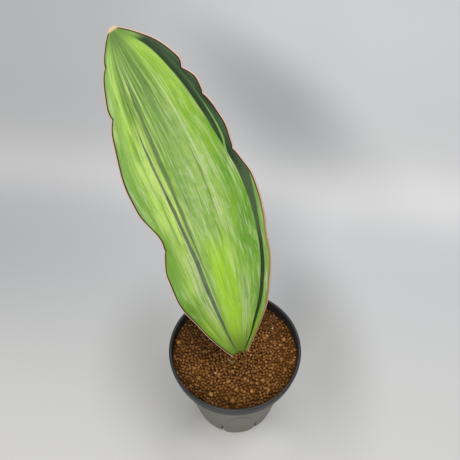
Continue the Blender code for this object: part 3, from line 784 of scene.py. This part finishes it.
def build_pot():
    profile = pot_profile()
    shape = bmesh.new()
    rings = []
    outside_from = max(range(len(profile)), key=lambda index: profile[index][1])
    for index, (radius, height) in enumerate(profile):
        if radius == 0.0:
            rings.append([shape.verts.new((0.0, 0.0, height))])
            continue
        ring = []
        for segment in range(POT_SEGMENTS):
            angle = math.tau * segment / POT_SEGMENTS
            out = radius
            if index > outside_from and 0.0 < height < PANEL_HEIGHT + 0.001:
                out += arch_relief(angle, height)
            ring.append(shape.verts.new((out * math.cos(angle), out * math.sin(angle), height)))
        rings.append(ring)
    for low, high in zip(rings, rings[1:]):
        for segment in range(POT_SEGMENTS):
            after = (segment + 1) % POT_SEGMENTS
            corners = [low[segment % len(low)], low[after % len(low)]]
            corners += [high[after % len(high)], high[segment % len(high)]]
            shape.faces.new(list(dict.fromkeys(corners)))
    bmesh.ops.recalc_face_normals(shape, faces=shape.faces)
    return mesh_from(shape, "pot_shell")


def slot_cutter():
    """Upright wedges, wide at the foot and narrow at the top, one for each drain slit."""
    shape = bmesh.new()
    near, far = BASE_RADIUS - SLOT_DEPTH, wall_radius(SLOT_HEIGHT) + PANEL_RELIEF + WALL
    slope = (SLOT_FOOT_WIDTH - SLOT_TOP_WIDTH) / 2 / SLOT_HEIGHT
    foot, top = SLOT_FOOT_WIDTH / 2 + slope * WALL, SLOT_TOP_WIDTH / 2
    crown = SLOT_HEIGHT - top
    outline = ((-foot, -WALL), (foot, -WALL), (top, crown), (0.0, SLOT_HEIGHT), (-top, crown))
    for index in range(SLOT_COUNT):
        angle = SLOT_START + math.tau * index / SLOT_COUNT
        ring = [shape.verts.new((near, across, height)) for across, height in outline]
        face = shape.faces.new(ring)
        pushed = bmesh.ops.extrude_face_region(shape, geom=[face])["geom"]
        pushed = [item for item in pushed if isinstance(item, bmesh.types.BMVert)]
        bmesh.ops.translate(shape, verts=pushed, vec=(far - near, 0, 0))
        bmesh.ops.rotate(shape, verts=ring + pushed, matrix=Matrix.Rotation(angle, 3, "Z"))
    bmesh.ops.recalc_face_normals(shape, faces=shape.faces)
    return add_piece("slot_cutter", mesh_from(shape, "slot_cutter"))


def evaluated_mesh(item):
    graph = bpy.context.evaluated_depsgraph_get()
    return bpy.data.meshes.new_from_object(item.evaluated_get(graph))


def pot_material():
    material, tree, shader = new_material("black_plastic")
    place = object_place(tree)
    parts = add_node(tree, "ShaderNodeSeparateXYZ", {"Vector": place}).outputs
    height = parts["Z"]
    radius = vector_calc(tree, "LENGTH", vector_calc(tree, "MULTIPLY", place, (1.0, 1.0, 0.0)))
    taper = (WALL_TOP_RADIUS - BASE_RADIUS) / WALL_TOP_Z
    in_wall = calc(tree, "SUBTRACT", radius, calc(tree, "MULTIPLY_ADD", height, taper, BASE_RADIUS))
    cloud = noise(tree, place, 38.0, 4.0, 0.6)
    speck = noise(tree, place, 900.0, 2.0, 0.6)
    # The outer wall below the collar is coloured lighter than the lip: partly its matte moulded finish,
    # partly painted light from the front.
    lit_matte_wall = calc(tree, "MULTIPLY", ease(tree, height, WALL_TOP_Z + 0.001, WALL_TOP_Z - 0.003),
                 ease(tree, in_wall, -0.0010, -0.0006))
    dust = calc(tree, "MULTIPLY", ease(tree, cloud, 0.42, 0.72), ease(tree, speck, 0.42, 0.70))
    plastic = blend_colour(tree, lit_matte_wall, (0.018, 0.019, 0.021, 1), (0.122, 0.118, 0.093, 1))
    dusty = blend_colour(tree, lit_matte_wall, (0.050, 0.048, 0.044, 1), (0.165, 0.160, 0.132, 1))
    tree.links.new(blend_colour(tree, dust, plastic, dusty), shader.inputs["Base Color"])
    rough = add_node(tree, "ShaderNodeMapRange", {"Value": cloud, "To Min": 0.38, "To Max": 0.56})
    tree.links.new(rough.outputs["Result"], shader.inputs["Roughness"])
    shader.inputs["Specular IOR Level"].default_value = 0.5
    add_bump(tree, shader, speck, 0.12, 0.0002)
    return material


pot_shell = add_piece("pot_shell", build_pot())
cutter = slot_cutter()
slots = pot_shell.modifiers.new("slots", "BOOLEAN")
slots.operation = "DIFFERENCE"
slots.object = cutter
slots.solver = "EXACT"
pot_shell.data = evaluated_mesh(pot_shell)
pot_shell.modifiers.clear()
bpy.data.objects.remove(cutter)
pot_shell.data.shade_smooth()
pot_shell.data.set_sharp_from_angle(angle=math.radians(35))
pot_shell.data.materials.clear()
pot_shell.data.materials.append(pot_material())
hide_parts("pot")
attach(pot_shell, GROWN)

# ------------------------------------------------------------------------------------------------
# Soil. Fired-clay granules of two to four millimetres, mixed brown and ochre, poured in loose up to
# ten millimetres below the rim. Its body is the frame's own solid, sunk a little under them.
# ------------------------------------------------------------------------------------------------
SOIL_RADIUS = soil_high.x
# Layers of granules: name, depth, spacing, least and greatest radius, seed.
TOP_DEPTH = 0.0014
GRANULE_LAYERS = (
    ("granules_top", TOP_DEPTH, 0.00250, 0.00118, 0.00155, 7),
    ("granules_under", 0.0036, 0.00240, 0.00120, 0.00145, 10),
    ("granules_coarse", TOP_DEPTH, 0.0098, 0.00160, 0.00205, 15),
)
GRANULE_LUMPINESS = 0.0010
WALL_MARGIN, DEEPER_MARGIN = 0.0012, 1.8
SWELL, EDGE_FALL = 0.0007, 0.0012
BODY_DROP_EDGE, BODY_DROP_MIDDLE, WALL_GAP = 0.0036, 0.0050, 0.0003
# Centre of the painted shadow of the leaf on the soil, behind its left margin.
LEAF_SHADOW_CENTRE = (-0.022, 0.022)


def soil_surface(name, drop):
    """The disc that granules are scattered on: gently uneven, and a little short of the pot's wall."""
    shape = bmesh.new()
    rings, spokes = 40, 96
    centre = shape.verts.new((0, 0, SOIL_TOP_Z - drop))
    last = [centre] * spokes
    for ring in range(1, rings + 1):
        radius = (SOIL_RADIUS - WALL_MARGIN - DEEPER_MARGIN * (drop - TOP_DEPTH)) * ring / rings
        row = []
        for spoke in range(spokes):
            angle = math.tau * spoke / spokes
            x, y = radius * math.cos(angle), radius * math.sin(angle)
            swell = SWELL * math.sin(95 * x + 1.0) * math.cos(80 * y - 0.6)
            fall = EDGE_FALL * (radius / SOIL_RADIUS) ** 2
            row.append(shape.verts.new((x, y, SOIL_TOP_Z - drop + swell - fall)))
        for spoke in range(spokes):
            after = (spoke + 1) % spokes
            corners = [last[spoke], row[spoke], row[after], last[after]]
            shape.faces.new(list(dict.fromkeys(corners)))
        last = row
    return add_piece(name, mesh_from(shape, name))


def granule_material():
    material, tree, shader = new_material("brown_granules")
    tone = attribute(tree, "tone")
    place = object_place(tree)
    pores = noise(tree, place, 1500.0, 3.0, 0.65)
    colour = colour_ramp(tree, tone, (
        (0.00, (0.130, 0.048, 0.010)),
        (0.25, (0.200, 0.080, 0.018)),
        (0.55, (0.265, 0.112, 0.027)),
        (0.85, (0.330, 0.152, 0.042)),
        (0.972, (0.380, 0.185, 0.058)),
        (0.986, (0.450, 0.220, 0.070)),
        (0.993, (0.620, 0.250, 0.060)),
        (0.998, (0.620, 0.440, 0.240)),
    ))
    shade = add_node(tree, "ShaderNodeMapRange", {"Value": pores, "To Min": 0.62, "To Max": 1.25})
    # Painted shade: the granules darkened in the leaf's shadow behind its left margin, and darker towards
    # the back.
    away = vector_calc(tree, "DISTANCE", place, (*LEAF_SHADOW_CENTRE, SOIL_TOP_Z))
    painted_shade = calc(tree, "MULTIPLY_ADD", ease(tree, away, 0.044, 0.008), -0.45, 1.0)
    depth_back = add_node(tree, "ShaderNodeSeparateXYZ", {"Vector": place}).outputs["Y"]
    painted_shade = calc(tree, "MULTIPLY_ADD", ease(tree, depth_back, 0.005, 0.040), -0.26, painted_shade)
    scaled = vector_calc(tree, "SCALE", colour, calc(tree, "MULTIPLY", shade.outputs["Result"], painted_shade))
    tree.links.new(scaled, shader.inputs["Base Color"])
    shader.inputs["Roughness"].default_value = 0.95
    shader.inputs["Specular IOR Level"].default_value = 0.2
    add_bump(tree, shader, pores, 0.5, 0.0003)
    return material


def granule_tree(material):
    """Scatters lumpy grains on a surface. Sizes and the seed are the tree's own inputs."""
    tree = bpy.data.node_groups.new("scatter_granules", "GeometryNodeTree")
    face = tree.interface
    face.new_socket("Geometry", in_out="INPUT", socket_type="NodeSocketGeometry")
    for name in ("Spacing", "Least size", "Most size", "Lumpiness"):
        face.new_socket(name, in_out="INPUT", socket_type="NodeSocketFloat")
    face.new_socket("Seed", in_out="INPUT", socket_type="NodeSocketInt")
    face.new_socket("Geometry", in_out="OUTPUT", socket_type="NodeSocketGeometry")
    given = add_node(tree, "NodeGroupInput").outputs
    scatter = add_node(
        tree, "GeometryNodeDistributePointsOnFaces",
        {
            "Mesh": given["Geometry"], "Distance Min": given["Spacing"],
            "Density Max": 900000.0, "Seed": given["Seed"],
        },
        distribute_method="POISSON",
    )
    ball = add_node(tree, "GeometryNodeMeshIcoSphere", {"Radius": 1.0, "Subdivisions": 2})
    size = add_node(
        tree, "FunctionNodeRandomValue",
        {2: given["Least size"], 3: given["Most size"], "Seed": given["Seed"]}, data_type="FLOAT",
    ).outputs[1]
    stretch = add_node(
        tree, "FunctionNodeRandomValue",
        {0: (0.72, 0.72, 0.66), 1: (1.22, 1.22, 1.10), "Seed": 31}, data_type="FLOAT_VECTOR",
    ).outputs[0]
    scale = vector_calc(tree, "SCALE", stretch, size)
    turn = add_node(
        tree, "FunctionNodeRandomValue",
        {0: (0.0, 0.0, 0.0), 1: (math.tau, math.tau, math.tau), "Seed": 12}, data_type="FLOAT_VECTOR",
    ).outputs[0]
    placed = add_node(
        tree, "GeometryNodeInstanceOnPoints", {
            "Points": scatter.outputs["Points"], "Instance": ball.outputs["Mesh"],
            "Rotation": turn, "Scale": scale,
        },
    ).outputs[0]
    tone = add_node(
        tree, "FunctionNodeRandomValue", {2: 0.0, 3: 1.0, "Seed": 5}, data_type="FLOAT",
    ).outputs[1]
    toned = add_node(
        tree, "GeometryNodeStoreNamedAttribute",
        {"Geometry": placed, "Name": "tone", "Value": tone}, data_type="FLOAT", domain="INSTANCE",
    ).outputs[0]
    real = add_node(tree, "GeometryNodeRealizeInstances", {"Geometry": toned}).outputs[0]
    position = add_node(tree, "GeometryNodeInputPosition").outputs[0]
    lumps = add_node(tree, "ShaderNodeTexNoise", {"Vector": position, "Scale": 700.0, "Detail": 1.0})
    centred = vector_calc(tree, "SUBTRACT", lumps.outputs["Color"], (0.5, 0.5, 0.5))
    push = vector_calc(tree, "SCALE", centred, given["Lumpiness"])
    moved = add_node(tree, "GeometryNodeSetPosition", {"Geometry": real, "Offset": push}).outputs[0]
    smooth = add_node(tree, "GeometryNodeSetShadeSmooth", {"Geometry": moved}).outputs[0]
    finished = add_node(
        tree, "GeometryNodeSetMaterial", {"Geometry": smooth, "Material": material},
    ).outputs[0]
    add_node(tree, "NodeGroupOutput", {"Geometry": finished})
    return tree


granules = granule_material()
scatter_granules = granule_tree(granules)
sockets = {
    item.name: item.identifier
    for item in scatter_granules.interface.items_tree
    if item.in_out == "INPUT"
}


def scatter(name, drop, spacing, least, most, seed):
    item = soil_surface(name, drop)
    nodes = item.modifiers.new("granules", "NODES")
    nodes.node_group = scatter_granules
    values = {"Spacing": spacing, "Least size": least, "Most size": most, "Seed": seed}
    values["Lumpiness"] = GRANULE_LUMPINESS
    for socket, value in values.items():
        nodes[sockets[socket]] = value
    item.data = evaluated_mesh(item)
    item.modifiers.clear()
    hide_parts("soil")
    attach(item, GROWN)


for layer in GRANULE_LAYERS:
    scatter(*layer)


def soil_body():
    """The frame's solid, merged, with its top sunk under the granules and kept off the pot's wall."""
    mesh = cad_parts["soil"].data.copy()
    shape = bmesh.new()
    shape.from_mesh(mesh)
    bmesh.ops.remove_doubles(shape, verts=shape.verts, dist=0.00001)
    shape.to_mesh(mesh)
    shape.free()
    # The body takes the darkest tone of the granule mix, as painted shade in the gaps between granules.
    mesh.attributes.new("tone", "FLOAT", "POINT").data.foreach_set("value", [0.0] * len(mesh.vertices))
    mesh.materials.clear()
    mesh.materials.append(granules)
    item = add_piece("soil_body", mesh)
    for vert in mesh.vertices:
        radius = math.hypot(vert.co.x, vert.co.y)
        top = SOIL_TOP_Z - (BODY_DROP_EDGE if radius > SOIL_RADIUS / 2 else BODY_DROP_MIDDLE)
        if vert.co.z > top:
            vert.co.z = top + 0.02 * (vert.co.z - top)
        over = min(max((vert.co.z - WALL_TOP_Z) / SHOULDER_HEIGHT, 0.0), 1.0)
        reach = wall_radius(min(vert.co.z, WALL_TOP_Z)) + COLLAR_STEP * over - WALL - WALL_GAP
        if radius > reach:
            vert.co.x *= reach / radius
            vert.co.y *= reach / radius
    return item


body = soil_body()
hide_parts("soil")
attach(body, GROWN)

# ------------------------------------------------------------------------------------------------
# Loose grains. The largest lumps of the same mix, which lie on top.
# ------------------------------------------------------------------------------------------------
GRAIN_TONES = (0.35, 0.60, 0.990, 0.985, 0.990, 0.982)


def rough_grain(name, node, tone, seed):
    low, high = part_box(node)
    centre, radius = (low + high) / 2, (high - low) / 2
    shape = bmesh.new()
    bmesh.ops.create_icosphere(shape, subdivisions=4, radius=1.0)
    for vert in shape.verts:
        swell = 0.0
        for turn in range(1, 4):
            wave = math.sin(2.1 * turn * vert.co.x + seed) * math.cos(1.7 * turn * vert.co.y - 2 * seed)
            swell += wave / turn
            swell += 0.5 * math.sin(2.9 * turn * vert.co.z + 3 * seed) / turn
        vert.co *= 0.84 + 0.075 * swell
        vert.co = Vector((vert.co.x * radius.x, vert.co.y * radius.y, vert.co.z * radius.z * 0.9)) + centre
    mesh = mesh_from(shape, name)
    mesh.shade_smooth()
    mesh.attributes.new("tone", "FLOAT", "POINT").data.foreach_set("value", [tone] * len(mesh.vertices))
    mesh.materials.append(granules)
    item = add_piece(name, mesh)
    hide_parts(node)
    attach(item, GROWN)


for index, grain_tone in enumerate(GRAIN_TONES, 1):
    rough_grain(f"rough_grain_{index}", f"loose_grain_{index}", grain_tone, 1.7 * index)

# ------------------------------------------------------------------------------------------------
# Dry scale. A dead, papery scale leaf, curled on the soil at the foot of the blade.
# ------------------------------------------------------------------------------------------------
scale_low, scale_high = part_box("dry_scale")
SCALE_LENGTH, SCALE_WIDTH, SCALE_THICK = 0.0092, 0.0013, 0.0003
SCALE_TURN = math.radians(-38)


def build_scale():
    shape = bmesh.new()
    columns, rows = 40, 8
    centre = (scale_low + scale_high) / 2
    turn = Matrix.Rotation(SCALE_TURN, 3, "Z")
    grid = []
    for column in range(columns + 1):
        share = 2 * column / columns - 1
        half = SCALE_WIDTH / 2 * math.sqrt(max(1.02 - share * share, 0.0))
        line_of = []
        for row in range(rows + 1):
            across = 2 * row / rows - 1
            bow = 0.0016 * share * share - 0.0008
            place = Vector((share * SCALE_LENGTH / 2, across * half + bow, 0.0))
            place.z = 0.0010 * (1 - across * across) + 0.0009 * share * share + 0.0001 * math.sin(9 * share)
            line_of.append(shape.verts.new(turn @ place + Vector((centre.x, centre.y, scale_low.z))))
        grid.append(line_of)
    for low, high in zip(grid, grid[1:]):
        for row in range(rows):
            shape.faces.new((low[row], high[row], high[row + 1], low[row + 1]))
    item = add_piece("papery_scale", mesh_from(shape, "papery_scale"))
    wall = item.modifiers.new("thickness", "SOLIDIFY")
    wall.thickness = SCALE_THICK
    item.data = evaluated_mesh(item)
    item.modifiers.clear()
    item.data.shade_smooth()
    return item


def paper_material():
    material, tree, shader = new_material("dry_paper")
    place = object_place(tree)
    stretched = add_node(tree, "ShaderNodeMapping", {"Vector": place, "Scale": (300, 1600, 1600)}).outputs[0]
    fibre = noise(tree, stretched, 1.0, 3.0)
    colour = colour_ramp(tree, fibre, (
        (0.30, (0.160, 0.090, 0.045)),
        (0.50, (0.330, 0.220, 0.120)),
        (0.70, (0.520, 0.390, 0.240)),
    ))
    tree.links.new(colour, shader.inputs["Base Color"])
    shader.inputs["Roughness"].default_value = 0.8
    add_bump(tree, shader, fibre, 0.4, 0.0002)
    return material


papery_scale = build_scale()
papery_scale.data.materials.clear()
papery_scale.data.materials.append(paper_material())
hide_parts("dry_scale")
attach(papery_scale, GROWN)

# ------------------------------------------------------------------------------------------------
# Rhizome. The thick cream stem under the soil that the leaf grows from, with its stubby roots. It
# is the frame's own solid, in the soil's hollow, so it gets its skin here and nothing else.
# ------------------------------------------------------------------------------------------------


def root_material():
    material, tree, shader = new_material("root_cream")
    place = object_place(tree)
    skin = noise(tree, place, 260.0, 4.0, 0.6)
    colour = colour_ramp(tree, skin, ((0.35, (0.380, 0.220, 0.100)), (0.62, (0.620, 0.460, 0.270))))
    tree.links.new(colour, shader.inputs["Base Color"])
    shader.inputs["Roughness"].default_value = 0.7
    add_bump(tree, shader, skin, 0.4, 0.0004)
    return material


rhizome_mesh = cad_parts["rhizome"]
rhizome_mesh.data.materials.clear()
rhizome_mesh.data.materials.append(root_material())
